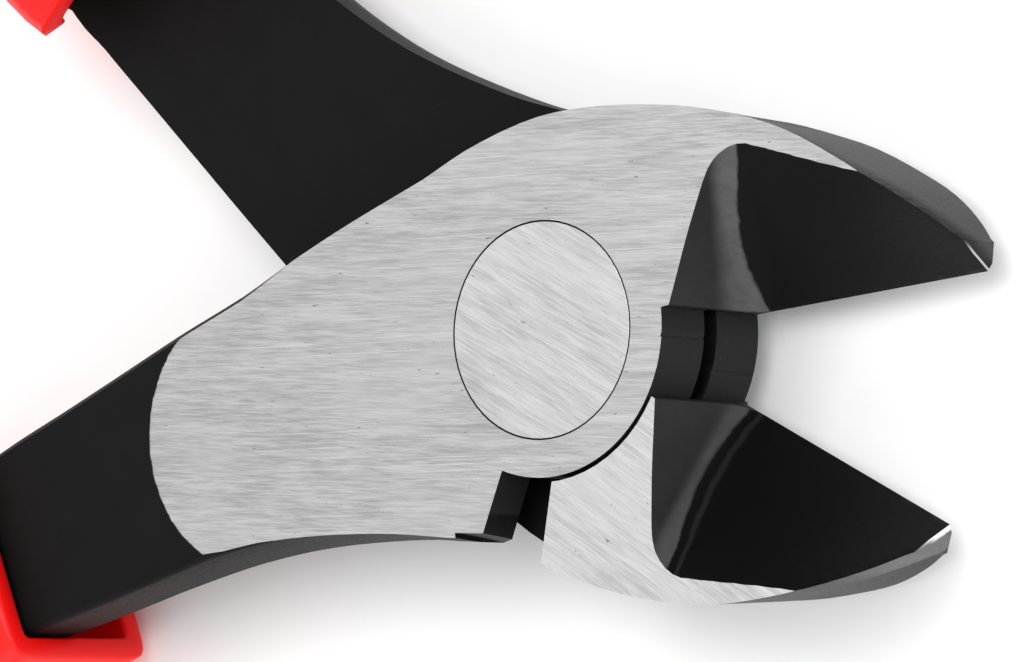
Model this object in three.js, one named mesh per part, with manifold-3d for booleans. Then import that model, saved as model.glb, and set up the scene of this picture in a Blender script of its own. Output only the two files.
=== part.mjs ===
// Diagonal cutting pliers, 200 mm, lap joint with one rivet. Millimetres.
// +X runs along the bisector of the jaws to the tips, +Z is the rivet axis, and the front face looks
// along +Z. The origin is the centre of the rivet's back face. The jaws stand open at rest.
import * as THREE from 'three';
import { mergeVertices } from 'three/addons/utils/BufferGeometryUtils.js';
import Module from 'manifold-3d';

const wasm = await Module();
wasm.setup();

// ---- driving dimensions -------------------------------------------------------------------------
const OPENING_DEG = 34;          // angle between the cutting edges at rest
const THICKNESS = 11.7;          // joint, over both ground faces
const RIVET_R = 7.5;             // rivet head
const RIVET_NECK_R = 5.2;
const RIVET_RIM = 1.2;           // straight height of each head
const RIVET_CONE = 2.0;          // height of the cone under each head
const RIVET_GAP = 0.12;
const DISC_R = 10.2;             // round of each lap plate about the rivet
const LAP_GAP = 0.3;             // between the two lap plates
const DISC_GAP = 0.35;           // between a lap plate and the other lever's jaw
const EDGE_GAP = 0.04;           // half the light between the cutting edges when closed
const EDGE_LAND = 0.5;           // cutting edge's height above the back face
const BACK_BEVEL = 0.6;          // width of the small bevel on the back of the edge
const FILLET_R = 2.2;            // hollow between the jaw's root wall and its long bevel
const BEVEL_SLOPE = [1.0, -0.0045, 0.0032];  // rise of the long bevel per mm of width, along the jaw
const ROOT_X = 11;               // where the cutting edge starts
const BEVEL_END_X = 36;
const PARTING_BULGE = 0.6;       // forging draft: how far the mid-plane stands out of the faces
const NOSE_DRAFT = 0.4;          // how far the nose falls back towards the back face
const RAMP_START = [-56, -3];    // where the lap plate begins to thicken into the tang
const RAMP_SKEW = 0.3;
const RAMP_SLOPE = 0.85;
const NOTCH_RELIEF = 2.2;        // undercut of the notch wall beside the lap plane
const ROUND_RELIEF = [1.4, 0.6]; // rebate of each plate's round beside the lap plane: depth, height
const BACK_INSET = 0.5;          // the back lever's head is this much narrower at the notch
const BACK_BULGE = 0.85;         // the back lever's bulge, as a share of how far its edge is drawn in
const MOUTH_TO = 0.13;           // end of the recess in the grip's mouth, as a fraction of its stations
const MOUTH_WALL = 1.8;
const SCALLOP = [8, 5.4];        // cut-back of the mouth's inner side: depth along the handle, half height
const BACK_GRIP_SHIFT = 2.6;     // the back grip is pushed this much further up its shank
const TANG_GAP = 0.3;
const PAD_GAP = 0.3;
const PAD_DEPTH = 3.2;
const CIRCLE_STEPS = 60;

const HALF_T = THICKNESS / 2;
const EDGE_Z = -HALF_T + EDGE_LAND;

// Everything about a lever is drawn in its closed position, jaw up, origin on the rivet axis at
// mid-thickness. Points are [x, y].

// Outside of the head on the front face, from the lap plate over the top to the nose.
const HEAD_TOP = [[-9, 12.1], [-4.6, 13.6], [1.2, 14.7], [6, 14.6], [11, 13.85], [15.8, 12.65], [20.9, 10.6],
  [25, 7.95], [27.6, 5.85], [29.3, 3.7], [30.2, 1.9]];
const EDGE_TIP = [29.4, EDGE_GAP];
const THROAT = [10.86, EDGE_GAP];
const NOTCH_INNER_DEG = -115.7;  // where the notch wall leaves the plate's round
const NOTCH_OUTER = [-6.57, -13.3];
const PLATE_CUT_X = -9;          // where the head meets the shank
const PLATE_CUT_LOW = -12.95;

// Back of the jaw, beside the other lever's plate.
const SHOULDER = [[4.4, 5], [5.58, 8.63], [7.31, 13.94], [9.6, 21]];

// Edge of the root wall on the front face, as x for each y, from the throat to the bevel's corner.
const ROOT_CURVE = [[9.9, -2], [10.84, 0], [11.73, 1.95], [12.75, 4.2], [13.84, 6.4], [15.05, 8.6],
  [16.4, 10.05], [18.5, 11]];

// The shank's faces fall away beyond an arc, where the ground faces end.
const GROUND_ARC = { at: [-26.2, -3.4], radius: 9.85, slope: 0.09, drop: 0.6 };

// Shank and tang: inner edge of the front and of the back lever, outer edge, how far the back lever's
// outer edge is drawn in, how much thinner than the joint, outer corner radius, and how far the forging's
// parting line stands out of the outer side.
const SHANK = [
  [[-9, 12.1], [-9, 12.1], [-9, PLATE_CUT_LOW], 0.5, -1, 0.5, 0.6],
  [[-17.2, 9.7], [-17.2, 10.3], [-16, -11.95], 0.75, -0.3, 0.5, 0.5],
  [[-26.5, 6.55], [-26.5, 7.6], [-24, -11.45], 0.95, 0, 0.5, 0.5],
  [[-33, 4.6], [-33, 5.7], [-31, -11.9], 1.2, 0, 0.5, 0.35],
  [[-39, 2.7], [-39, 3.9], [-38, -13.1], 1.3, 0, 0.5, 0.12],
  [[-45, 0.8], [-45, 2.1], [-43.5, -14.1], 1.2, 0, 0.6, 0.1],
  [[-51, -1.1], [-51, 0.3], [-49.5, -15.1], 1.0, 0, 0.7, 0.1],
  [[-57, -3.4], [-57, -1.7], [-55, -16], 0.5, 0.15, 1, 0.1],
  [[-74, -11], [-74, -10.8], [-71, -19.4], 0, 0.65, 1.4, 0.1],
  [[-99, -17.6], [-99, -17.6], [-98, -25.2], 0, 1.05, 1.4, 0.1],
  [[-128, -19.2], [-128, -19.2], [-128, -26.4], 0, 1.25, 1.4, 0.1],
  [[-158, -16.6], [-158, -16.6], [-159, -23.2], 0, 1.65, 1.2, 0.1],
].map(([inner, backInner, outer, backInset, taper, corner, bulge]) => (
  { inner, backInner, outer, backInset, taper, corner, bulge }));
const INNER_CORNER = 0.4;
const FACE_STEPS = 9;            // points across each face
const SHANK_STEPS = 5;           // rings between two stations, as far as the tang
const TANG_STEPS = 2;
const TANG_STATION = 7;

// Grip: centre line, half widths towards and away from the other handle, half thickness, and the
// superellipse exponent of its section.
const GRIP = [
  { at: [-51.6, -9.1], inner: 8.9, outer: 8.3, half: 7.5, square: 9 },
  { at: [-54.5, -9.9], inner: 9.6, outer: 9.1, half: 7.7, square: 7 },
  { at: [-58.5, -11.1], inner: 10, outer: 10.1, half: 7.8, square: 5 },
  { at: [-64, -12.8], inner: 9.2, outer: 10.2, half: 7.8, square: 3.8 },
  { at: [-74, -15.8], inner: 8.4, outer: 8.7, half: 7.6, square: 3 },
  { at: [-88, -19.2], inner: 8.3, outer: 8.4, half: 7.9, square: 2.8 },
  { at: [-104, -21.8], inner: 8.7, outer: 8.8, half: 8.2, square: 2.8 },
  { at: [-122, -22.9], inner: 8.6, outer: 8.6, half: 8.1, square: 2.8 },
  { at: [-140, -22.2], inner: 8.0, outer: 8.1, half: 7.7, square: 2.8 },
  { at: [-156, -20.4], inner: 7.9, outer: 8.4, half: 7.5, square: 2.9 },
  { at: [-166, -18.8], inner: 7.2, outer: 8.2, half: 6.8, square: 3 },
  { at: [-169.4, -18.2], inner: 5.2, outer: 5.8, half: 4.8, square: 3 },
];
const GRIP_STEPS = 3;
const GRIP_SIDES = 24;
const MOUTH_SQUARE = 16;         // superellipse exponent of the recess at the grip's mouth
const GRIP_LENGTH = 120;
const PAD_FROM = 0.30;           // soft pad's stretch, as fractions of the grip's length
const PAD_TO = 0.84;
const PAD_PROUD = 0.35;

const COLOURS = {
  oxide: { color: 0x242527, roughness: 0.5, metalness: 0.6 },
  rivet: { color: 0xc6c8ca, roughness: 0.3, metalness: 1 },
  grip: { color: 0xe01414, roughness: 0.4, metalness: 0 },
  pad: { color: 0x2a2b2d, roughness: 0.75, metalness: 0 },
};

// ---- mesh helpers -------------------------------------------------------------------------------
// Skins closed rings of equal length, given from one end to the other, and closes both ends: a flat
// outline in x and y by triangulating it, any other ring by a fan about its middle.
function loft(rings, flatEnds) {
  const count = rings[0].length;
  const points = rings.flat();
  const index = [];
  for (let r = 0; r + 1 < rings.length; r++) {
    for (let i = 0; i < count; i++) {
      const a = r * count + i;
      const b = r * count + ((i + 1) % count);
      index.push(a, b, b + count, a, b + count, a + count);
    }
  }
  for (const [ring, first, flip] of [[rings[0], 0, false], [rings.at(-1), points.length - count, true]]) {
    const flat = ring.map((p) => new THREE.Vector2(p.x, p.y));
    const faces = flatEnds ? THREE.ShapeUtils.triangulateShape(flat, []) : [];
    if (!flatEnds) {
      const middle = ring.reduce((sum, p) => sum.add(p), new THREE.Vector3()).divideScalar(count);
      const hub = points.push(middle) - 1 - first;
      for (let i = 0; i < count; i++) faces.push([hub, (i + 1) % count, i]);
    }
    for (const [i, j, k] of faces) {
      const turned = flip ? [i, k, j] : [i, j, k];
      index.push(...turned.map((v) => first + v));
    }
  }
  return toSolid(points, index);
}

function toSolid(points, index) {
  const make = () => new wasm.Manifold(new wasm.Mesh({
    numProp: 3,
    vertProperties: new Float32Array(points.flatMap((p) => [p.x, p.y, p.z])),
    triVerts: new Uint32Array(index),
  }));
  const solid = make();
  if (solid.volume() > 0) return solid;
  index.reverse();
  return make();
}

function fromGeometry(geometry) {
  geometry.deleteAttribute('normal');
  geometry.deleteAttribute('uv');
  const merged = mergeVertices(geometry, 1e-4);
  return new wasm.Manifold(new wasm.Mesh({
    numProp: 3,
    vertProperties: new Float32Array(merged.attributes.position.array),
    triVerts: new Uint32Array(merged.index.array),
  }));
}

// A straight prism over [x, y] points, from z = low to z = high.
function prism(points, low, high) {
  const shape = new THREE.Shape(points.map((p) => new THREE.Vector2(p[0], p[1])));
  const geometry = new THREE.ExtrudeGeometry(shape, { depth: high - low, bevelEnabled: false });
  return fromGeometry(geometry.translate(0, 0, low));
}

function disc(radius, low, high) {
  const geometry = new THREE.CylinderGeometry(radius, radius, high - low, CIRCLE_STEPS);
  return fromGeometry(geometry.rotateX(Math.PI / 2).translate(0, 0, (low + high) / 2));
}

function smooth(points, steps) {
  const knots = points.map((p) => new THREE.Vector3(p[0], p[1], 0));
  const curve = new THREE.CatmullRomCurve3(knots, false, 'centripetal');
  return Array.from({ length: steps + 1 }, (_, i) => curve.getPoint(i / steps)).map((p) => [p.x, p.y]);
}

// Reads a table of stations at a fraction of its length, smoothly.
function sampler(stations, key) {
  const values = stations.map((s) => (Array.isArray(s[key]) ? s[key] : [s[key], 0]));
  const knots = values.map((v, i) => new THREE.Vector3(v[0], v[1], i * 20));
  const curve = new THREE.CatmullRomCurve3(knots, false, 'catmullrom', 0.5);
  return (t) => curve.getPoint(t);
}

// ---- lever --------------------------------------------------------------------------------------
// The head as a stack of three outlines: back face, mid-plane (forging parting line), front face.
function head(isFront) {
  const inset = isFront ? 0 : BACK_INSET;
  const top = smooth(HEAD_TOP, 34).map((p) => (
    { p, bulge: 0, nose: NOSE_DRAFT * THREE.MathUtils.smoothstep(p[0], 12, 20) }));
  const arcSteps = 30;
  const arc = Array.from({ length: arcSteps + 1 }, (_, i) => {
    const a = THREE.MathUtils.degToRad((NOTCH_INNER_DEG * i) / arcSteps);
    return { p: [DISC_R * Math.cos(a), DISC_R * Math.sin(a)], bulge: 0, nose: 0 };
  });
  const outline = [
    ...top,
    { p: EDGE_TIP, bulge: 0, nose: 0 },
    { p: THROAT, bulge: 0, nose: 0 },
    ...arc,
    { p: [NOTCH_OUTER[0] + inset * 0.44, NOTCH_OUTER[1] + inset], bulge: PARTING_BULGE, nose: 0 },
    { p: [PLATE_CUT_X, PLATE_CUT_LOW + inset], bulge: PARTING_BULGE, nose: 0 },
  ];
  const n = outline.length;
  const ring = (z, offset) => outline.map((o, i) => {
    const before = outline[(i + n - 1) % n].p;
    const after = outline[(i + 1) % n].p;
    let normal = new THREE.Vector2(-(after[1] - before[1]), after[0] - before[0]).normalize();
    if (o.p[0] <= PLATE_CUT_X) normal = new THREE.Vector2(0, Math.sign(o.p[1]));
    if (o.bulge > 0) normal = new THREE.Vector2(0, -1);
    const d = offset(o);
    return new THREE.Vector3(o.p[0] + normal.x * d, o.p[1] + normal.y * d, z);
  });
  const back = ring(-HALF_T, (o) => -o.nose);
  const middle = ring(0, (o) => o.bulge - o.nose / 2);
  const front = ring(HALF_T, () => 0);
  return loft([back, middle, front], true);
}

// How far the shank's face lies below the ground face. Inside the arc it stands above it, to be trimmed.
function faceDrop(x, y) {
  const { at, radius, slope, drop } = GROUND_ARC;
  const ahead = Math.max(0, x - at[0]);
  const reach = Math.hypot(Math.min(0, x - at[0]), y - at[1]) - radius - ahead;
  return reach < 0 ? slope * reach : drop * (1 - Math.exp((-slope * reach) / drop));
}

// One cross-section of the shank between its inner and outer edge, grown by a margin.
function shankRing({ inner, outer, taper, corner, bulge }, grow) {
  const across = new THREE.Vector2(inner.x - outer.x, inner.y - outer.y);
  const width = across.length();
  across.normalize();
  const topAt = (s) => HALF_T + grow - taper - faceDrop(outer.x + across.x * s, outer.y + across.y * s);
  const edge = topAt(0);
  const upper = [[-bulge, 0], [-bulge, edge * 0.35], [-bulge * 0.6, edge * 0.7]];  // [across, height]
  for (const a of [0, Math.PI / 6, Math.PI / 3]) {
    upper.push([corner * (1 - Math.cos(a)), edge - corner * (1 - Math.sin(a))]);
  }
  for (let i = 0; i <= FACE_STEPS; i++) {
    const s = corner + ((width - corner - INNER_CORNER) * i) / FACE_STEPS;
    upper.push([s, topAt(s)]);
  }
  upper.push([width, topAt(width) - INNER_CORNER], [width, 0]);
  const lower = upper.slice(1, -1).reverse().map(([s, z]) => [s, -z]);
  return [...upper, ...lower].map(([s, z]) => (
    new THREE.Vector3(outer.x + across.x * s, outer.y + across.y * s, z)));
}

const shankRead = Object.fromEntries(Object.keys(SHANK[0]).map((k) => [k, sampler(SHANK, k)]));

// The shank's measures at a fraction of its length.
function shankAt(t, isFront) {
  const inner = (isFront ? shankRead.inner(t) : shankRead.backInner(t)).setZ(0);
  const outer = shankRead.outer(t).setZ(0);
  const inset = isFront ? 0 : shankRead.backInset(t).x;
  outer.y += inset;
  const bulge = Math.max(shankRead.bulge(t).x, inset * BACK_BULGE);
  return { inner, outer, bulge, taper: shankRead.taper(t).x, corner: shankRead.corner(t).x };
}

function shank(isFront) {
  const last = SHANK.length - 1;
  const stops = [];
  for (let i = 0; i < last; i++) {
    const steps = i < TANG_STATION ? SHANK_STEPS : TANG_STEPS;
    for (let k = 0; k < steps; k++) stops.push((i + k / steps) / last);
  }
  return loft([...stops, 1].map((t) => shankRing(shankAt(t, isFront), 0)), false);
}

// What the long bevel and its root wall take away from the jaw.
function bevelCut() {
  const root = smooth(ROOT_CURVE, 24);
  const across = [0, 0.04, 0.15, 0.34, 0.62, 1].map((s) => s * FILLET_R);
  const strips = 9;
  const floor = [];
  const lid = [];
  for (const [x0, y] of root) {
    const xs = across.map((s) => x0 + s);
    const start = x0 + FILLET_R;
    for (let i = 1; i <= strips; i++) xs.push(start + ((BEVEL_END_X - start) * i) / strips);
    for (const x of xs) {
      const s = x - x0;
      const run = x - ROOT_X;
      const slope = BEVEL_SLOPE[0] + BEVEL_SLOPE[1] * run + BEVEL_SLOPE[2] * run * run;
      const hollow = s < FILLET_R ? FILLET_R - Math.sqrt(FILLET_R ** 2 - (FILLET_R - s) ** 2) : 0;
      floor.push(new THREE.Vector3(x, y, EDGE_Z + slope * (y - EDGE_GAP) + hollow));
      lid.push(new THREE.Vector3(x, y, 4 * HALF_T));
    }
  }
  const rows = root.length;
  const cols = across.length + strips;
  const index = [];
  const quad = (a, b, c, d) => index.push(a, b, c, a, c, d);
  const n = rows * cols;
  for (let r = 0; r + 1 < rows; r++) {
    for (let c = 0; c + 1 < cols; c++) {
      const a = r * cols + c;
      quad(a, a + cols, a + cols + 1, a + 1);
      quad(n + a, n + a + 1, n + a + cols + 1, n + a + cols);
    }
  }
  for (let c = 0; c + 1 < cols; c++) {
    quad(c, c + 1, n + c + 1, n + c);
    const a = (rows - 1) * cols + c;
    quad(a + 1, a, n + a, n + a + 1);
  }
  for (let r = 0; r + 1 < rows; r++) {
    const a = r * cols;
    quad(a + cols, a, n + a, n + a + cols);
    const b = a + cols - 1;
    quad(b, b + cols, n + b + cols, n + b);
  }
  return toSolid([...floor, ...lid], index);
}

// The small bevel on the back of the cutting edge.
function backBevelCut() {
  const profile = [[EDGE_GAP - 1, -HALF_T - 1], [EDGE_GAP - 1, EDGE_Z], [EDGE_GAP, EDGE_Z],
    [EDGE_GAP + BACK_BEVEL, -HALF_T], [EDGE_GAP + BACK_BEVEL, -HALF_T - 1]];
  const rings = [DISC_R + 0.3, BEVEL_END_X].map((x) => profile.map(([y, z]) => new THREE.Vector3(x, y, z)));
  return loft(rings, false);
}

// The space that the other lever's plate sweeps: below the lap plane, behind the jaw's shoulder.
function lapCut() {
  const low = -2 * HALF_T;
  const top = LAP_GAP / 2;
  const far = 30;
  const rampFoot = (y) => RAMP_START[0] - RAMP_SKEW * (y - RAMP_START[1]);
  const ring = (y) => {
    const start = rampFoot(y);
    const end = start - (top - low) / RAMP_SLOPE;
    return [[start, top], [25, top], [25, low], [end, low]].map(([x, z]) => new THREE.Vector3(x, y, z));
  };
  const ramped = loft([ring(-far), ring(far)], false);
  const behind = prism([[-90, -far], [2, -far], [2, 0], ...SHOULDER, [9.6, far], [-90, far]], low, top + 1);
  return ramped.intersect(behind).add(disc(DISC_R + DISC_GAP, low, top));
}

// Undercuts beside the lap plane: along the notch wall, and round the plate.
function lapRelief() {
  const top = LAP_GAP / 2;
  const a = DISC_R * 0.94;
  const turn = THREE.MathUtils.degToRad(NOTCH_INNER_DEG);
  const start = [a * Math.cos(turn), a * Math.sin(turn)];
  const wall = new THREE.Vector2(NOTCH_OUTER[0] - start[0], NOTCH_OUTER[1] - start[1]).normalize();
  const inward = new THREE.Vector2(wall.y, -wall.x);
  const end = [NOTCH_OUTER[0] + wall.x * 3, NOTCH_OUTER[1] + wall.y * 3];
  const section = [[0.6, top - 1], [0.6, top + NOTCH_RELIEF + 0.6], [-NOTCH_RELIEF - 0.9, top - 1]];
  const notch = loft([start, end].map(([x, y]) => section.map(([s, z]) => (
    new THREE.Vector3(x - inward.x * s, y - inward.y * s, z)))), false);
  const [depth, height] = ROUND_RELIEF;
  const rim = DISC_R + DISC_GAP;
  const profile = [[DISC_R - depth, top - 0.5], [rim, top - 0.5], [rim, top + height],
    [DISC_R - depth, top + height], [DISC_R - depth, top - 0.5]];
  const round = new THREE.LatheGeometry(profile.map((q) => new THREE.Vector2(q[0], q[1])), CIRCLE_STEPS);
  return notch.add(fromGeometry(round.rotateX(Math.PI / 2)));
}

// The front lever keeps the front half of the lap, the back lever the back half.
function leverSolid(isFront) {
  const slab = prism([[-200, -60], [60, -60], [60, 60], [-200, 60]], -HALF_T, HALF_T);
  const cut = lapCut().add(lapRelief());
  const lap = isFront ? cut : cut.mirror([0, 0, 1]);
  const blank = head(isFront).add(shank(isFront)).intersect(slab);
  return blank.subtract(lap).subtract(bevelCut()).subtract(backBevelCut()).subtract(rivetSolid(RIVET_GAP));
}

// ---- rivet --------------------------------------------------------------------------------------
function rivetSolid(grow) {
  const face = HALF_T + (grow > 0 ? 1 : 0);
  const rim = HALF_T - RIVET_RIM - grow * 0.4;
  const neck = HALF_T - RIVET_RIM - RIVET_CONE - grow * 0.4;
  const profile = [[0, -face], [RIVET_R + grow, -face], [RIVET_R + grow, -rim], [RIVET_NECK_R + grow, -neck],
    [RIVET_NECK_R + grow, neck], [RIVET_R + grow, rim], [RIVET_R + grow, face], [0, face]];
  const geometry = new THREE.LatheGeometry(profile.map((p) => new THREE.Vector2(p[0], p[1])), CIRCLE_STEPS);
  return fromGeometry(geometry.rotateX(Math.PI / 2));
}

// ---- grip ---------------------------------------------------------------------------------------
const gripRead = Object.fromEntries(Object.keys(GRIP[0]).map((k) => [k, sampler(GRIP, k)]));
const GRIP_TOTAL = (GRIP.length - 1) * GRIP_STEPS;

// A closed tube along the grip's centre line, grown by a margin, between two fractions of its length.
function gripTube(grow, from, to, fixedSquare) {
  const rings = [];
  const steps = Math.round(GRIP_TOTAL * (to - from));
  for (let i = 0; i <= steps; i++) {
    const t = from + ((to - from) * i) / steps;
    const at = gripRead.at(t);
    const ahead = gripRead.at(Math.min(1, t + 0.01));
    const behind = gripRead.at(Math.max(0, t - 0.01));
    const side = new THREE.Vector2(behind.y - ahead.y, ahead.x - behind.x).normalize();
    if (side.y < 0) side.negate();
    const square = fixedSquare ?? gripRead.square(t).x;
    const ring = [];
    for (let k = 0; k < GRIP_SIDES; k++) {
      const a = (2 * Math.PI * k) / GRIP_SIDES;
      const c = Math.cos(a);
      const s = Math.sin(a);
      const wide = (c > 0 ? gripRead.inner(t).x : gripRead.outer(t).x) + grow;
      const across = wide * Math.sign(c) * Math.abs(c) ** (2 / square);
      const up = (gripRead.half(t).x + grow) * Math.sign(s) * Math.abs(s) ** (2 / square);
      ring.push(new THREE.Vector3(at.x + side.x * across, at.y + side.y * across, up));
    }
    rings.push(ring);
  }
  return loft(rings, false);
}

// The sleeve's hollow: the tang with room around it.
function gripHollow(isFront) {
  const rings = [];
  const steps = 18;
  const from = 0.47;
  for (let i = 0; i <= steps; i++) {
    const t = from + ((1 - from) * i) / steps;
    const at = shankAt(t, isFront);
    const across = new THREE.Vector3().subVectors(at.inner, at.outer).normalize();
    const along = new THREE.Vector3(across.y, -across.x, 0).multiplyScalar(i === steps ? -0.6 : 0);
    at.inner.addScaledVector(across, TANG_GAP).add(along);
    at.outer.addScaledVector(across, -TANG_GAP).add(along);
    rings.push(shankRing(at, TANG_GAP));
  }
  return loft(rings, false);
}

// The wider recess at the mouth, and the cut-back on the side towards the other handle.
function mouthCut() {
  const recess = gripTube(-MOUTH_WALL, 0, MOUTH_TO, MOUTH_SQUARE);
  const scallop = new THREE.CylinderGeometry(1, 1, 9, 32).scale(SCALLOP[0], 1, SCALLOP[1]);
  const at = GRIP[0].at;
  scallop.rotateZ(0.26).translate(at[0], at[1] + GRIP[0].inner + 0.6, 0);
  return recess.add(fromGeometry(scallop));
}

// The strip along the outside of the grip that the soft pad fills.
function padZone(grow) {
  const line = [];
  const back = [];
  const steps = 30;
  for (let i = 0; i <= steps; i++) {
    const round = Math.sin((Math.PI * i) / steps) ** 0.35;
    const t = PAD_FROM - grow / GRIP_LENGTH + ((PAD_TO - PAD_FROM + (2 * grow) / GRIP_LENGTH) * i) / steps;
    const at = gripRead.at(t);
    const ahead = gripRead.at(t + 0.01);
    const side = new THREE.Vector2(ahead.y - at.y, at.x - ahead.x).normalize();
    if (side.y < 0) side.negate();
    const outer = gripRead.outer(t).x;
    const inset = -outer - 3 + (PAD_DEPTH + 3) * round + grow;
    line.push([at.x + side.x * inset, at.y + side.y * inset]);
    back.push([at.x - side.x * (outer + 4), at.y - side.y * (outer + 4)]);
  }
  return prism([...line, ...back.reverse()], -20, 20);
}

function gripSolids(isFront) {
  const slide = isFront ? [0, 0, 0] : [BACK_GRIP_SHIFT * 0.966, BACK_GRIP_SHIFT * 0.258, 0];
  const sleeve = gripTube(0, 0, 1).subtract(mouthCut()).subtract(padZone(PAD_GAP));
  const pad = gripTube(PAD_PROUD, PAD_FROM - 0.05, PAD_TO + 0.05).intersect(padZone(0));
  return { sleeve: sleeve.translate(slide).subtract(gripHollow(isFront)), pad: pad.translate(slide) };
}

// ---- assembly -----------------------------------------------------------------------------------
// Turns a closed, jaw-up solid into its place at rest. The back lever's jaw points down.
function place(solid, isFront) {
  const turn = OPENING_DEG / 2;
  const placed = isFront ? solid.rotate([0, 0, turn]) : solid.mirror([0, 1, 0]).rotate([0, 0, -turn]);
  return placed.translate([0, 0, HALF_T]);
}

function toMesh(name, solid, look) {
  const { vertProperties, triVerts } = solid.getMesh();
  const geometry = new THREE.BufferGeometry();
  geometry.setAttribute('position', new THREE.BufferAttribute(new Float32Array(vertProperties), 3));
  geometry.setIndex(new THREE.BufferAttribute(new Uint32Array(triVerts), 1));
  const mesh = new THREE.Mesh(geometry, new THREE.MeshStandardMaterial(COLOURS[look]));
  mesh.name = name;
  return mesh;
}

const pliers = new THREE.Group();
for (const side of ['front', 'back']) {
  const isFront = side === 'front';
  const { sleeve, pad } = gripSolids(isFront);
  pliers.add(toMesh(`${side}_lever`, place(leverSolid(isFront), isFront), 'oxide'));
  pliers.add(toMesh(`${side}_grip`, place(sleeve, isFront), 'grip'));
  pliers.add(toMesh(`${side}_grip_pad`, place(pad, isFront), 'pad'));
}
pliers.add(toMesh('joint_rivet', place(rivetSolid(0), true), 'rivet'));

export default pliers;
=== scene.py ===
import math

import bpy
from mathutils import Euler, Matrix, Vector


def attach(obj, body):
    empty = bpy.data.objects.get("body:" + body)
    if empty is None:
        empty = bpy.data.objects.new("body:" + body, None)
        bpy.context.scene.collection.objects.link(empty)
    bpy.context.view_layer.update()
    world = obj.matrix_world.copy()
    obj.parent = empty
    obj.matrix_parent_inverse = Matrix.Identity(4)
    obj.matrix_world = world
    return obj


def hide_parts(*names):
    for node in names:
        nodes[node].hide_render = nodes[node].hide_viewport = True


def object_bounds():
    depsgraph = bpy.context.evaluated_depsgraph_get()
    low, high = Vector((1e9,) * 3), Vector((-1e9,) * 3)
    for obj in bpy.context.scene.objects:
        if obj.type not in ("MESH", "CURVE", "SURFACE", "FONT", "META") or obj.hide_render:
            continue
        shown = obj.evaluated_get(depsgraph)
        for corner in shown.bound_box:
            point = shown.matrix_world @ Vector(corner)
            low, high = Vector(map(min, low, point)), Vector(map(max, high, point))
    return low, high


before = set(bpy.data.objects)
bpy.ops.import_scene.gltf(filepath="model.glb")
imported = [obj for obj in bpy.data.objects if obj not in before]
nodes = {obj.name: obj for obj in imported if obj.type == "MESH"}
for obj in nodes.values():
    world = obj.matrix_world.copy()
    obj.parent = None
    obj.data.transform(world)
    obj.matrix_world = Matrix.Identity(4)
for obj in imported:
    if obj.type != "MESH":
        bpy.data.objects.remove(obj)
cad_low, cad_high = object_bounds()
MM = 0.001

# ---- driving values, in millimetres and degrees in the part's frame -----------------------------
THICKNESS = 11.7
HALF_OPENING = 17
GRAIN = {"front_lever": 8, "back_lever": -22, "joint_rivet": -18}
SCRATCH_TURN = 3                                     # the scratches' turn from the grain
STREAK_TURN = 62                                     # the file marks on the root walls
PLATE_RADIUS = 13.6                                  # just outside the lap plates' rims
GROUND_SKIN = 0.012                                  # how near to the joint's faces the grinding reaches

# Along the jaw from the rivet, and across it from the cutting edge, as the jaw is drawn when closed.
ROOT_X = 11.2                                        # where the jaw's root wall starts at the cutting edge
BEVEL_SLOPE = (1.0, -0.0045, 0.0032)                 # the long bevel's rise per mm across, along the jaw
EDGE_LAND = 0.5
HOLLOW_END = {"front_lever": (12.05, 0.12, 0.046), "back_lever": (11.76, 0.2, 0.036)}
HOLLOW_HEIGHT = {"front_lever": (5.1, -0.35, 0), "back_lever": (2.9, -0.1, 0)}
NOSE_START = (15, 20)                                # where the nose's tones, worn coat and painted shade, come in
# Where the painted highlight along the bevel's edge at the tip comes in.
TIP_HIGHLIGHT_START = (26, 27)
# Where the back lever's painted glint at the tip comes in.
GLINT_START = (27, 28)
# Where the painted shade on the nose's outside lightens, in millimetres below the bevel's edge.
NOSE_SHADE_FADE = {"front_lever": (0.7, 3.6), "back_lever": (0.0, 1.0)}
NOSE_WEAR = {"front_lever": 0.0, "back_lever": 0.9}  # how much of the coat is gone, from 0 to 1

# ---- tones -----------------------------------------------------------------------------------------
STEEL = {"front_lever": (0.34, 0.59), "back_lever": (0.42, 0.70), "joint_rivet": (0.41, 0.68)}
SCRATCH_TONE = (0.78, 0.78, 0.77)
PIT_TONE = (0.12, 0.12, 0.12)
OXIDE = ((0.004, 0.004, 0.0043), (0.007, 0.007, 0.0074))
SPECK_TONE = (0.06, 0.06, 0.06)
ROOT_TONES = ((0.022, 0.022, 0.023), (0.038, 0.038, 0.039))
FILLET_TONES = {"front_lever": ((0.07, 0.07, 0.071), (0.17, 0.17, 0.171)),
                "back_lever": ((0.045, 0.045, 0.046), (0.09, 0.09, 0.091))}
FLECK_TONE = (0.2, 0.2, 0.2)
HOLLOW_LINE_TONE = (0.015, 0.015, 0.015)
BEVEL_TONE = {"front_lever": (0.0085, 0.0085, 0.009), "back_lever": (0.0035, 0.0035, 0.0038)}
RIM_TONES = ((0.02, 0.02, 0.0205), (0.09, 0.09, 0.091))
NOSE_TONES = ((0.010, 0.010, 0.0105), (0.07, 0.07, 0.071))
WORN_TONES = ((0.06, 0.06, 0.061), (0.17, 0.17, 0.171))
# A painted highlight along the bevel's edge at the nose's tip.
TIP_HIGHLIGHT_TONE = (0.5, 0.5, 0.5)
# A painted glint: a near-white spot at the back lever's tip.
TIP_GLINT_TONE = (0.85, 0.85, 0.85)
RED = ((0.93, 0.004, 0.004), (1.0, 0.007, 0.006))
PAD_TONES = ((0.012, 0.012, 0.013), (0.024, 0.024, 0.026))
DUST_TONE = (0.045, 0.045, 0.047)
PAPER_TONES = ((0.93, 0.93, 0.93), (0.95, 0.95, 0.95))
STEEL_METALLIC = 0.85

scene = bpy.context.scene
scene.view_settings.view_transform = "Standard"


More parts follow.
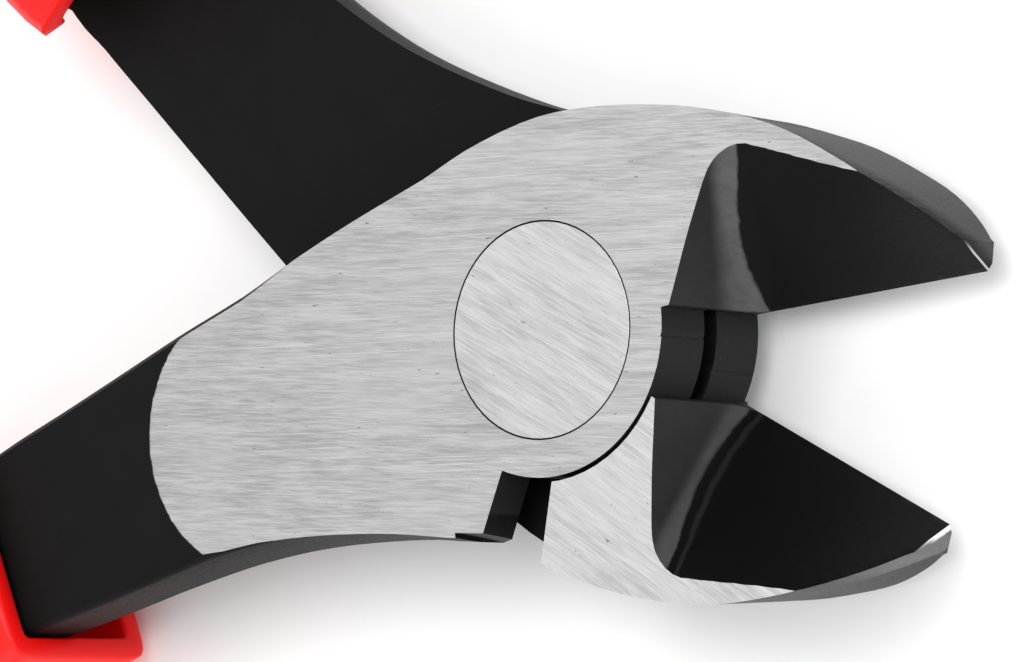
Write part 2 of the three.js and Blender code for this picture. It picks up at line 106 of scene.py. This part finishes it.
# ---- camera: a long lens above the jaws, with the handles towards the left ------------------------
camera = bpy.data.objects.new("camera", bpy.data.cameras.new("camera"))
scene.collection.objects.link(camera)
camera.data.sensor_width = 36
camera.data.lens = 175.78
camera.data.clip_start = 0.01
camera.location = (0.2058, 0.01526, 0.28816)
camera.rotation_euler = Euler([math.radians(a) for a in (3.688, 36.908, 10.436)])
scene.camera = camera


# ---- light ------------------------------------------------------------------------------------------
def area_light(name, place, target, size, power):
    light = bpy.data.lights.new(name, "AREA")
    light.shape = "RECTANGLE"
    light.size, light.size_y = size
    light.energy = power
    holder = bpy.data.objects.new(name, light)
    scene.collection.objects.link(holder)
    holder.location = place
    holder.rotation_euler = (Vector(target) - Vector(place)).to_track_quat("-Z", "Y").to_euler()


area_light("handle_side_box", (-0.55, -0.04, 0.62), (0, 0, 0), (0.9, 1.1), 1.2)
area_light("top_box", (0.1, 0.3, 0.9), (0, 0, 0), (0.9, 0.6), 6.5)
area_light("nose_box", (0.55, 0.1, 0.3), (0.02, 0, 0), (0.35, 0.5), 0.8)
area_light("low_side_box", (0.05, -0.6, 0.4), (0, 0, 0), (0.9, 0.4), 2.1)

world = bpy.data.worlds.new("studio")
scene.world = world
world.use_nodes = True
sky = world.node_tree.nodes["Background"]
sky.inputs["Color"].default_value = (1, 1, 1, 1)
sky.inputs["Strength"].default_value = 0.5


# ---- shader nodes -----------------------------------------------------------------------------------
MIX_SOCKETS = {"FLOAT": (2, 3, 0), "VECTOR": (4, 5, 1), "RGBA": (6, 7, 2)}    # the Mix node's A, B and result


class Shader:
    """A material's node tree, with short calls for the nodes used here."""

    def __init__(self, name):
        self.material = bpy.data.materials.new(name)
        self.material.use_nodes = True
        self.tree = self.material.node_tree
        self.bsdf = self.tree.nodes["Principled BSDF"]

    def add(self, kind, **values):
        node = self.tree.nodes.new("ShaderNode" + kind)
        for key, value in values.items():
            setattr(node, key, value)
        return node

    def feed(self, socket, value):
        """Links a socket to another, or sets it to a constant. A constant colour has three numbers."""
        if isinstance(value, bpy.types.NodeSocket):
            self.tree.links.new(value, socket)
        elif socket.type == "RGBA":
            socket.default_value = (*value, 1)
        else:
            socket.default_value = value

    def math(self, operation, *values, clamp=False):
        node = self.add("Math", operation=operation, use_clamp=clamp)
        for socket, value in zip(node.inputs, values):
            self.feed(socket, value)
        return node.outputs[0]

    def plus(self, a, b):
        return self.math("ADD", a, b)

    def minus(self, a, b):
        return self.math("SUBTRACT", a, b)

    def times(self, first, *others):
        """The product of two or more values."""
        product = first
        for value in others:
            product = self.math("MULTIPLY", product, value)
        return product

    def curve(self, value, start, lean, bend):
        """start + lean * value + bend * value squared."""
        slope = self.math("MULTIPLY_ADD", value, bend, lean)
        return self.math("MULTIPLY_ADD", slope, value, start)

    def ramp(self, value, low, high, to_low=0.0, to_high=1.0):
        """A smooth step from to_low at low to to_high at high. Low may be the larger one."""
        node = self.add("MapRange", interpolation_type="SMOOTHSTEP")
        for socket, given in zip(node.inputs, (value, low, high, to_low, to_high)):
            self.feed(socket, given)
        return node.outputs[0]

    def mix(self, factor, a, b, kind="RGBA"):
        """Between two colours, values (FLOAT) or normals (VECTOR), by a factor from 0 to 1."""
        node = self.add("Mix", data_type=kind)
        a_in, b_in, result = MIX_SOCKETS[kind]
        for index, value in ((0, factor), (a_in, a), (b_in, b)):
            self.feed(node.inputs[index], value)
        return node.outputs[result]

    def split(self, vector):
        node = self.add("SeparateXYZ")
        self.feed(node.inputs[0], vector)
        return node.outputs

    def radius(self, position):
        """The distance from the Z axis."""
        flat = self.add("CombineXYZ")
        for axis in (0, 1):
            self.feed(flat.inputs[axis], position[axis])
        length = self.add("VectorMath", operation="LENGTH")
        self.feed(length.inputs[0], flat.outputs[0])
        return length.outputs["Value"]

    def true_normal(self):
        return self.add("NewGeometry").outputs["True Normal"]

    def face_normal(self):
        """The direction a face looks, in the object's own axes."""
        node = self.add("VectorTransform", vector_type="NORMAL", convert_from="WORLD", convert_to="OBJECT")
        self.feed(node.inputs[0], self.true_normal())
        return node.outputs[0]

    def place(self, scale=(1, 1, 1), turn=0.0):
        """Object coordinates in millimetres, turned about Z and then scaled."""
        turned = self.add("Mapping", vector_type="POINT")
        self.feed(turned.inputs["Vector"], self.add("TexCoord").outputs["Object"])
        self.feed(turned.inputs["Rotation"], (0, 0, math.radians(-turn)))
        scaled = self.add("Mapping", vector_type="POINT")
        self.feed(scaled.inputs["Vector"], turned.outputs[0])
        self.feed(scaled.inputs["Scale"], [s / MM for s in scale])
        return scaled.outputs[0]

    def noise(self, cells, detail, rough, turn=0.0):
        """Noise with a number of cells per millimetre, one for all axes or one for each."""
        node = self.add("TexNoise")
        scale = cells if isinstance(cells, tuple) else (cells,) * 3
        self.feed(node.inputs["Vector"], self.place(scale, turn))
        self.feed(node.inputs["Scale"], 1.0)
        self.feed(node.inputs["Detail"], detail)
        self.feed(node.inputs["Roughness"], rough)
        return node.outputs["Fac"]

    def bump(self, height, strength, distance, normal=None):
        """A normal bumped by a height, whose full range is a distance in millimetres."""
        node = self.add("Bump")
        self.feed(node.inputs["Strength"], strength)
        self.feed(node.inputs["Distance"], distance * MM)
        self.feed(node.inputs["Height"], height)
        if normal is not None:
            self.feed(node.inputs["Normal"], normal)
        return node.outputs[0]

    def finish(self, **sockets):
        for name, value in sockets.items():
            self.feed(self.bsdf.inputs[name.replace("_", " ")], value)
        return self.material


# ---- steel ------------------------------------------------------------------------------------------
def ground_steel(shader, name):
    """Colour, roughness and normal of steel ground with its grain at an angle from X."""
    turn = GRAIN[name]
    dull, bright = ((level,) * 3 for level in STEEL[name])
    fine = shader.noise((0.45, 8, 1), 4, 0.65, turn)
    broad = shader.noise((0.16, 1.6, 1), 3, 0.55, turn)
    blotch = shader.noise((0.12, 0.2, 1), 2, 0.5, turn)
    scratches = shader.ramp(shader.noise((0.06, 14, 1), 2, 0.5, turn + SCRATCH_TURN), 0.63, 0.70)
    pits = shader.ramp(shader.noise((0.9, 3.4, 1), 3, 0.65, turn), 0.68, 0.74)
    tone = shader.plus(shader.times(fine, 0.6), shader.times(broad, 0.4))
    colour = shader.mix(shader.ramp(tone, 0.33, 0.67), dull, bright)
    colour = shader.mix(shader.ramp(blotch, 0.35, 0.75, 0.0, 0.3), colour, bright)
    colour = shader.mix(shader.times(scratches, 0.5), colour, SCRATCH_TONE)
    colour = shader.mix(shader.times(pits, 0.75), colour, PIT_TONE)
    roughness = shader.ramp(tone, 0.33, 0.67, 0.5, 0.36)
    height = shader.minus(tone, shader.times(pits, 0.6))
    return colour, roughness, shader.bump(height, 0.35, 0.02, shader.true_normal())


def black_oxide(shader):
    """Colour, roughness and normal of steel with a black oxide coat, with worn specks."""
    cloud = shader.noise(0.25, 4, 0.6)
    grit = shader.noise(5, 4, 0.7)
    specks = shader.ramp(shader.noise(2.4, 3, 0.6), 0.74, 0.80)
    colour = shader.mix(shader.times(specks, 0.25), shader.mix(cloud, *OXIDE), SPECK_TONE)
    return colour, shader.ramp(grit, 0.3, 0.7, 0.45, 0.6), shader.bump(grit, 0.4, 0.02)


class JawPoint:
    """Where the shaded point of a lever lies, in millimetres, with masks from 0 to 1 for its faces."""

    def __init__(self, shader, name):
        self.front = name == "front_lever"
        self.position = shader.split(shader.place())

        # The joint's ground faces, with a slightly ragged border.
        off_middle = shader.math("ABSOLUTE", shader.minus(self.position[2], THICKNESS / 2))
        ragged = shader.times(shader.noise((0.5, 3, 1), 3, 0.6, GRAIN[name]), 0.015)
        self.ground = shader.ramp(shader.plus(off_middle, ragged),
                                  THICKNESS / 2 - GROUND_SKIN, THICKNESS / 2 - 0.002)

        # Along and across the jaw, with the cutting edge on the first axis.
        jaw = shader.split(shader.place(turn=HALF_OPENING if self.front else -HALF_OPENING))
        self.along = jaw[0]
        self.across = jaw[1] if self.front else shader.times(jaw[1], -1)
        tilt = shader.math("ABSOLUTE", shader.split(shader.face_normal())[2])
        self.side_wall = shader.ramp(tilt, 0.45, 0.25)
        self.in_jaw = shader.times(shader.ramp(self.along, ROOT_X - 1.5, ROOT_X - 0.5),
                                   shader.minus(1, self.ground))

        # Below the long bevel, or above it as a fraction of the hollow's height.
        slope = shader.curve(shader.minus(self.along, ROOT_X), *BEVEL_SLOPE)
        bevel = shader.plus(shader.times(self.across, slope), EDGE_LAND)
        self.below = shader.minus(bevel, self.position[2])
        self.above = shader.math("DIVIDE", shader.times(self.below, -1),
                                 shader.curve(self.across, *HOLLOW_HEIGHT[name]))

        # Past the end of the hollow between the root wall and the long bevel, with a wavering border.
        wobble = shader.times(shader.noise(0.5, 3, 0.6), 0.4)
        border = shader.curve(self.across, *HOLLOW_END[name])
        self.past = shader.minus(shader.plus(self.along, wobble), border)


def root_and_bevel(shader, name, point, flecks, dark):
    """Lays the tones of the long bevel, the root wall and its fillet over the dark coat."""
    root = shader.times(point.in_jaw, shader.ramp(point.past, 0.12, -0.12),
                        shader.ramp(point.below, 0.3, 0.12))
    bevel = shader.times(point.in_jaw, shader.minus(1, point.side_wall))
    streaks = shader.noise((1, 0.25, 0.5), 4, 0.7, STREAK_TURN if point.front else -STREAK_TURN)
    fillet = shader.mix(shader.times(flecks, 0.5), shader.mix(streaks, *FILLET_TONES[name]), FLECK_TONE)
    dark = shader.mix(bevel, dark, BEVEL_TONE[name])
    dark = shader.mix(root, dark, shader.mix(streaks, *ROOT_TONES))
    dark = shader.mix(shader.times(root, shader.ramp(point.above, 1.15, 0.45)), dark, fillet)
    if not point.front:
        line = shader.times(shader.ramp(point.past, 0.45, 0.7), shader.ramp(point.past, 1.05, 0.8),
                            point.in_jaw)
        dark = shader.mix(line, dark, HOLLOW_LINE_TONE)
    return dark


def plate_rims(shader, point, flecks, dark):
    """Lays the tones of the two lap plates' rims, in the throat and the notch, over the dark coat."""
    near = shader.ramp(shader.radius(point.position), PLATE_RADIUS, PLATE_RADIUS - 0.4)
    rim = shader.times(point.side_wall, near, shader.ramp(point.across, 0.15, 0.0))
    return shader.mix(rim, dark, shader.mix(flecks, *RIM_TONES))


def nose_wear_shade_and_highlights(shader, name, point, dark):
    """Lays the tones of the nose's outside over the dark coat: the coat where it has worn, painted shade
    darker towards the bevel's edge, a painted highlight along the edge at the tip and, on the back lever, a
    painted glint at the tip.
    """
    under = shader.times(point.side_wall, shader.ramp(point.below, 0.06, 0.16))
    outside = shader.times(under, shader.ramp(point.along, *NOSE_START), shader.ramp(point.across, 0.2, 0.9))
    rub = shader.noise((0.25, 0.25, 0.5), 3, 0.6)
    scuff = shader.noise(1.6, 4, 0.75)
    # Painted shade: the tone is darkest at the bevel's edge and lightens further below it, with random rub on
    # top.
    edge_shade_and_rub = shader.plus(shader.ramp(point.below, *NOSE_SHADE_FADE[name]), shader.times(rub, 0.35))
    tone = shader.mix(shader.math("MULTIPLY", edge_shade_and_rub, 0.75, clamp=True), *NOSE_TONES)
    strip = shader.plus(point.below, shader.times(scuff, 0.9))
    worn = shader.times(shader.ramp(strip, 4.4, 4.0), shader.ramp(scuff, 0.2, 0.5, 0.55, 1.0),
                        NOSE_WEAR[name])
    tone = shader.mix(worn, tone, shader.mix(shader.ramp(point.across, 6.5, 2.5), *WORN_TONES))
    dark = shader.mix(outside, dark, tone)
    # Painted highlight: a bright line just under the bevel's edge at the tip.
    tip_highlight = shader.times(shader.ramp(point.below, 0.6, 0.4), shader.ramp(point.across, 1.9, 1.1), under,
                       shader.ramp(point.along, *TIP_HIGHLIGHT_START))
    dark = shader.mix(tip_highlight, dark, TIP_HIGHLIGHT_TONE)
    if not point.front:
        # Painted glint: a near-white spot at the very tip of the back lever.
        glint = shader.times(shader.ramp(strip, 1.8, 1.3), shader.ramp(point.across, 1.5, 0.9),
                            shader.ramp(point.along, *GLINT_START), under)
        dark = shader.mix(glint, dark, TIP_GLINT_TONE)
    return dark


def lever_material(name):
    """Ground steel on the joint's flat faces and black oxide elsewhere, with the jaw's tones, among them
    painted shade and highlights on the nose.
    """
    shader = Shader(name + "_finish")
    point = JawPoint(shader, name)
    steel, steel_rough, steel_normal = ground_steel(shader, name)
    dark, oxide_rough, oxide_normal = black_oxide(shader)
    flecks = shader.ramp(shader.noise(2.2, 3, 0.7), 0.66, 0.78)
    dark = root_and_bevel(shader, name, point, flecks, dark)
    dark = plate_rims(shader, point, flecks, dark)
    dark = nose_wear_shade_and_highlights(shader, name, point, dark)
    return shader.finish(
        Base_Color=shader.mix(point.ground, dark, steel),
        Metallic=shader.times(point.ground, STEEL_METALLIC),
        Roughness=shader.mix(point.ground, oxide_rough, steel_rough, "FLOAT"),
        Specular_IOR_Level=0.08,
        Normal=shader.mix(point.ground, oxide_normal, steel_normal, "VECTOR"),
    )


def rivet_material():
    shader = Shader("rivet_finish")
    colour, roughness, normal = ground_steel(shader, "joint_rivet")
    return shader.finish(Base_Color=colour, Metallic=STEEL_METALLIC, Roughness=roughness, Normal=normal)


# ---- grips and floor --------------------------------------------------------------------------------
def grip_material():
    shader = Shader("grip_finish")
    cloud = shader.noise(0.1, 3, 0.5)
    fine = shader.noise(5, 3, 0.6)
    dimples = shader.noise(1.1, 2, 0.5)
    height = shader.plus(fine, shader.times(dimples, 2))
    return shader.finish(Base_Color=shader.mix(cloud, *RED), Specular_IOR_Level=0.3,
                         Roughness=shader.ramp(fine, 0.3, 0.7, 0.36, 0.46),
                         Normal=shader.bump(height, 0.12, 0.03))


def pad_material():
    shader = Shader("pad_finish")
    fine = shader.noise(4, 4, 0.6)
    dust = shader.noise(0.5, 3, 0.6)
    colour = shader.mix(shader.ramp(dust, 0.45, 0.75, 0, 0.5), shader.mix(fine, *PAD_TONES), DUST_TONE)
    return shader.finish(Base_Color=colour, Roughness=shader.ramp(dust, 0.3, 0.7, 0.62, 0.78),
                         Normal=shader.bump(fine, 0.35, 0.05))


def paper_material():
    shader = Shader("paper")
    tooth = shader.noise(0.4, 3, 0.5)
    return shader.finish(Base_Color=shader.mix(tooth, *PAPER_TONES), Roughness=0.9, Specular_IOR_Level=0.1)


# ---- levers and rivet: the CAD's own meshes -----------------------------------------------------------
def dress(piece, material):
    piece.data.materials.clear()
    piece.data.materials.append(material)


def soften(node, width):
    """Joins the CAD's loose corners, rounds its edges a little and smooths between them."""
    weld = node.modifiers.new("weld", "WELD")
    weld.merge_threshold = 0.004 * MM
    edge = node.modifiers.new("edge", "BEVEL")
    edge.width = width * MM
    edge.segments = 2
    edge.limit_method = "ANGLE"
    edge.angle_limit = math.radians(32)
    edge.miter_outer = "MITER_ARC"
    edge.use_clamp_overlap = True
    node.data.shade_smooth()
    normals = node.modifiers.new("normals", "WEIGHTED_NORMAL")
    normals.mode = "FACE_AREA"
    normals.weight = 100
    normals.keep_sharp = False


LEVER_EDGE, RIVET_EDGE = 0.08, 0.02
for lever in ("front_lever", "back_lever"):
    dress(nodes[lever], lever_material(lever))
    soften(nodes[lever], LEVER_EDGE)
dress(nodes["joint_rivet"], rivet_material())
soften(nodes["joint_rivet"], RIVET_EDGE)


# ---- sleeves and pads -------------------------------------------------------------------------------
# Drawn like the levers in the CAD: closed, jaw up, from mid-thickness. Stations are the centre line,
# the half widths towards and away from the other handle, the half thickness and the section's squareness.
GRIP = [
    (-51.6, -9.1, 8.9, 8.3, 7.5, 9),
    (-54.5, -9.9, 9.6, 9.1, 7.7, 7),
    (-58.5, -11.1, 10, 10.1, 7.8, 5),
    (-64, -12.8, 9.2, 10.2, 7.8, 3.8),
    (-74, -15.8, 8.4, 8.7, 7.6, 3),
    (-88, -19.2, 8.3, 8.4, 7.9, 2.8),
    (-104, -21.8, 8.7, 8.8, 8.2, 2.8),
    (-122, -22.9, 8.6, 8.6, 8.1, 2.8),
    (-140, -22.2, 8.0, 8.1, 7.7, 2.8),
    (-156, -20.4, 7.9, 8.4, 7.5, 2.9),
    (-166, -18.8, 7.2, 8.2, 6.8, 3),
    (-169.4, -18.2, 5.2, 5.8, 4.8, 3),
]
BACK_SLIDE = (2.51, 0.67)                            # the back grip sits further up its shank
GIRTH_RADIUS = 8.5                                   # turns an angle round the grip into millimetres
LINE_STEPS = 600                                     # the centre line is measured in this many steps

MOUTH_DEPTH, MOUTH_WALL, LIP_ROUND = 5.0, 1.8, 0.45
SCALLOP_DEPTH, SCALLOP_HALF = 7.0, 5.4               # the mouth's cut-back towards the other handle
FLOOR_BEHIND_RIM = 0.6                               # the recess's floor, behind the deepest cut-back
HOLE_BEHIND_FLOOR = 0.5
HOLE_GROWTH = (-7.2, -4.5, -MOUTH_WALL - 0.7)
ANGLE_SQUARE, HOLE_SQUARE, FLOOR_SQUARE, WALL_SQUARE, RIM_SQUARE = 14, 12, 26, 30, 9
LIP_STEPS = 8
BODY_START = 9.5                                     # where the sleeve's rings are level round the grip
END_TURN, END_BULGE = 38, 4.2                        # the rounded end's first angle and its height
GRIP_SIDES, BODY_RINGS, END_RINGS = 120, 300, 10

PAD_FROM, PAD_TO, PAD_PROUD = 0.30, 0.84, 0.35
PAD_SPREAD = 1.05                                    # half angle round the grip
PAD_INSET = 0.25                                     # the first and last rings, from the pad's ends
PAD_BACK_SPREAD, PAD_BACK_DROP = 0.96, 0.5           # the plain back, within the rim and under the seam
PAD_RINGS, PAD_SKIN, PAD_BACK = 260, 48, 12          # rings, and points across the skin and the back
RIM_ROLL = 0.35
SEAM_WIDTH, SEAM_DEPTH, SEAM_SHARPNESS = 0.7, 0.8, 9     # the gap round the pad
RIB_PITCH, RIB_DEPTH = 3.4, 0.48
RIB_MARGIN, RIB_FADE = 1.6, 1.2                      # the ribs' distance from the rim, and their run-out


def through(f, before, a, b, after):
    """A smooth curve through a and b, at a fraction f between them, leaning on their neighbours."""
    return 0.5 * (2 * a + (b - before) * f + (2 * before - 5 * a + 4 * b - after) * f * f
                  + (3 * a - before - 3 * b + after) * f ** 3)


def station(t):
    """The grip's measures at a fraction of its stations, on a smooth curve through them."""
    x = min(max(t, 0.0), 1.0) * (len(GRIP) - 1)
    i = min(int(x), len(GRIP) - 2)
    before, a, b, after = (GRIP[min(max(i + k, 0), len(GRIP) - 1)] for k in (-1, 0, 1, 2))
    if i == 0:
        before = [2 * p - q for p, q in zip(a, b)]
    if i == len(GRIP) - 2:
        after = [2 * q - p for p, q in zip(a, b)]
    return [through(x - i, *measures) for measures in zip(before, a, b, after)]


fine_line = [station(i / LINE_STEPS) for i in range(LINE_STEPS + 1)]
fine_length = [0.0]
for here, there in zip(fine_line, fine_line[1:]):
    fine_length.append(fine_length[-1] + math.dist(here[:2], there[:2]))
GRIP_LENGTH = fine_length[-1]
PAD_START, PAD_END = fine_length[round(PAD_FROM * LINE_STEPS)], fine_length[round(PAD_TO * LINE_STEPS)]


def fraction_at(length):
    """The fraction of the stations at a length along the centre line."""
    if length <= 0:
        return 0.0
    for i, reached in enumerate(fine_length):
        if reached >= length:
            step = reached - fine_length[i - 1]
            return (i - 1 + (length - fine_length[i - 1]) / step) / LINE_STEPS
    return 1.0


def section_point(length, angle, grow=0.0, square=None):
    """A point of the grip's section, in the closed position, at a length along the centre line."""
    t = fraction_at(length)
    x, y, inner, outer, half, own_square = station(t)
    ahead, behind = station(min(t + 0.01, 1)), station(max(t - 0.01, 0))
    side = Vector((behind[1] - ahead[1], ahead[0] - behind[0])).normalized()
    if side.y < 0:
        side = -side
    c, s = math.cos(angle), math.sin(angle)
    power = 2 / (square or own_square)
    across = ((inner if c > 0 else outer) + grow) * math.copysign(abs(c) ** power, c)
    up = (half + grow) * math.copysign(abs(s) ** power, s)
    return Vector((x + side.x * across, y + side.y * across, up))


def ring_at(lengths, angles, grow=0.0, square=None):
    """A ring round the grip, with a length along it for each angle."""
    return [section_point(length, angle, grow, square) for length, angle in zip(lengths, angles)]


def even_angles(square):
    """Angles that spread the section's points evenly round a squarish outline."""
    power = square / 2
    spread = []
    for k in range(GRIP_SIDES):
        a = 2 * math.pi * (k + 0.5) / GRIP_SIDES
        c, s = math.cos(a), math.sin(a)
        spread.append(math.atan2(math.copysign(abs(s) ** power, s), math.copysign(abs(c) ** power, c)))
    return spread


def set_back(angle):
    """How far the mouth's rim is cut back at an angle round the section."""
    if math.cos(angle) <= 0:
        return 0.0
    height = section_point(0, angle).z / SCALLOP_HALF
    return SCALLOP_DEPTH * math.sqrt(1 - height * height) if abs(height) < 1 else 0.0


def pad_half_angle(length):
    """Half of the soft pad's strip round the outer side, a rounded lens along the grip."""
    along = (2 * length - PAD_START - PAD_END) / (PAD_END - PAD_START)
    return PAD_SPREAD * max(0.0, 1 - abs(along) ** 3.2) ** 0.5


def seat(length, angle):
    """How deep the sleeve's surface lies under the pad and in the seam round it."""
    half = pad_half_angle(length)
    if half < 0.02 or math.cos(angle) > 0.3:
        return 0.0
    off_centre = math.acos(min(max(-math.cos(angle), -1), 1))
    inside = min((half - off_centre) * GIRTH_RADIUS, length - PAD_START, PAD_END - length)
    return SEAM_DEPTH / (1 + math.exp(-(inside + SEAM_WIDTH / 2) * SEAM_SHARPNESS))


def pad_rings():
    """Rings round the soft pad: a ribbed outer skin whose rim rolls under, and a plain back."""
    rings = []
    for i in range(PAD_RINGS + 1):
        # Closer together towards the ends.
        spread = 0.5 - 0.5 * math.cos(math.pi * i / PAD_RINGS)
        length = PAD_START + PAD_INSET + (PAD_END - PAD_START - 2 * PAD_INSET) * spread
        half = pad_half_angle(length)
        ends = min(length - PAD_START, PAD_END - length)
        wave = 0.5 - 0.5 * math.cos(2 * math.pi * (length - PAD_START) / RIB_PITCH)
        ring = []
        for k in range(PAD_SKIN):
            v = -math.cos(math.pi * k / (PAD_SKIN - 1))
            rim = min((1 - abs(v)) * half * GIRTH_RADIUS, ends)
            roll = 1 - math.exp(-rim / RIM_ROLL)
            crest = min(max((rim - RIB_MARGIN) / RIB_FADE, 0), 1)
            rib = RIB_DEPTH * (1 - wave ** 3) * crest * crest * (3 - 2 * crest)
            rise = PAD_PROUD * roll - SEAM_DEPTH * (1 - roll) - rib
            ring.append(section_point(length, math.pi + half * v, rise))
        for k in range(PAD_BACK):
            v = 1 - 2 * (k + 0.5) / PAD_BACK
            angle = math.pi + half * v * PAD_BACK_SPREAD
            ring.append(section_point(length, angle, -SEAM_DEPTH - PAD_BACK_DROP))
        rings.append(ring)
    return rings


def mouth_rings(angles):
    """From the hole round the tang, out over the recess's floor and wall and round the lip."""
    rims = [set_back(a) for a in angles]
    floors = [max(MOUTH_DEPTH, rim + FLOOR_BEHIND_RIM) for rim in rims]
    rings = []
    for grow in HOLE_GROWTH:
        rings.append(ring_at([floor + HOLE_BEHIND_FLOOR for floor in floors], angles, grow, HOLE_SQUARE))
    for rise in (0.75, 0.25, -0.1):
        grow = -MOUTH_WALL - max(0, rise - 0.25) * 0.8
        rings.append(ring_at([floor - 0.3 + rise for floor in floors], angles, grow, FLOOR_SQUARE))
    for part in (0.7, 0.4, 0.15):
        lengths = [rim + LIP_ROUND + (floor - rim - LIP_ROUND) * part for floor, rim in zip(floors, rims)]
        rings.append(ring_at(lengths, angles, -MOUTH_WALL, WALL_SQUARE))
    for step in range(LIP_STEPS + 1):
        turn = math.pi * step / LIP_STEPS
        over = math.copysign(abs(math.cos(turn)) ** 0.5, math.cos(turn))
        lift = LIP_ROUND * (1 - math.sin(turn) ** 0.7)
        square = WALL_SQUARE + (RIM_SQUARE - WALL_SQUARE) * step / LIP_STEPS
        rings.append(ring_at([rim + lift for rim in rims], angles, -MOUTH_WALL / 2 * (1 + over), square))
    for part in (0.03, 0.1, 0.25, 0.45, 0.7):
        lengths = [rim + LIP_ROUND + (BODY_START - rim - LIP_ROUND) * part for rim in rims]
        rings.append(ring_at(lengths, angles))
    return rings


def end_rings(angles):
    """From the last station over the rounded end, which runs on along the centre line."""
    x, y = fine_line[-1][:2]
    dx, dy = x - fine_line[-12][0], y - fine_line[-12][1]
    run = math.hypot(dx, dy)
    rims = [section_point(GRIP_LENGTH, a) for a in angles]
    first_turn = math.radians(END_TURN)
    rings = []
    for step in range(1, END_RINGS + 1):
        turn = first_turn + (math.pi / 2 - first_turn) * step / END_RINGS
        bulge = END_BULGE * (math.sin(turn) - math.sin(first_turn))
        shrink = max(math.cos(turn) / math.cos(first_turn), 0.02)
        rings.append([Vector((x + (rim.x - x) * shrink + dx / run * bulge,
                              y + (rim.y - y) * shrink + dy / run * bulge, rim.z * shrink)) for rim in rims])
    return rings


def sleeve_rings():
    """Rings of the whole sleeve, from the hole in its mouth to its closed end."""
    angles = even_angles(ANGLE_SQUARE)
    body = []
    for i in range(BODY_RINGS + 1):
        length = BODY_START + (GRIP_LENGTH - BODY_START) * i / BODY_RINGS
        body.append([section_point(length, a, -seat(length, a)) for a in angles])
    return mouth_rings(angles) + body + end_rings(angles)


def to_rest(point, is_front):
    """From the closed, jaw-up drawing to the part's frame at rest, in metres."""
    x, y, z = point
    turn = math.radians(HALF_OPENING)
    if not is_front:
        x, y = x + BACK_SLIDE[0], y + BACK_SLIDE[1]
        y, turn = -y, -turn
    c, s = math.cos(turn), math.sin(turn)
    return (MM * (x * c - y * s), MM * (x * s + y * c), MM * (z + THICKNESS / 2))


def skin(name, rings, is_front):
    """A mesh object through rings with the same number of points, closed at both ends."""
    verts = [to_rest(p, is_front) for ring in rings for p in ring]
    sides = len(rings[0])
    faces = []
    for r in range(len(rings) - 1):
        for k in range(sides):
            a, b = r * sides + k, r * sides + (k + 1) % sides
            faces.append((a, b, b + sides, a + sides) if is_front else (a, a + sides, b + sides, b))
    for ring, first in ((rings[0], True), (rings[-1], False)):
        middle = sum((Vector(p) for p in ring), Vector()) / sides
        verts.append(to_rest(middle, is_front))
        start = 0 if first else (len(rings) - 1) * sides
        for k in range(sides):
            a, b = start + k, start + (k + 1) % sides
            faces.append((b, a, len(verts) - 1) if first == is_front else (a, b, len(verts) - 1))
    mesh = bpy.data.meshes.new(name)
    mesh.from_pydata(verts, [], faces)
    mesh.validate()
    mesh.shade_smooth()
    piece = bpy.data.objects.new(name, mesh)
    scene.collection.objects.link(piece)
    return piece


red = grip_material()
soft = pad_material()
sleeve_shape = sleeve_rings()
pad_shape = pad_rings()
for side in ("front", "back"):
    is_front = side == "front"
    body = side + "_handle"
    sleeve = skin(side + "_sleeve", sleeve_shape, is_front)
    dress(sleeve, red)
    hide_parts(side + "_grip")
    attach(sleeve, body)
    pad = skin(side + "_pad", pad_shape, is_front)
    dress(pad, soft)
    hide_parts(side + "_grip_pad")
    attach(pad, body)


# ---- floor ------------------------------------------------------------------------------------------
FLOOR_REACH = 3.0
low = cad_low.z - 0.2 * MM
corners = [(x * FLOOR_REACH, y * FLOOR_REACH, low) for x, y in ((-1, -1), (1, -1), (1, 1), (-1, 1))]
floor_mesh = bpy.data.meshes.new("floor")
floor_mesh.from_pydata(corners, [], [(0, 1, 2, 3)])
floor_mesh.materials.append(paper_material())
floor = bpy.data.objects.new("floor", floor_mesh)
scene.collection.objects.link(floor)
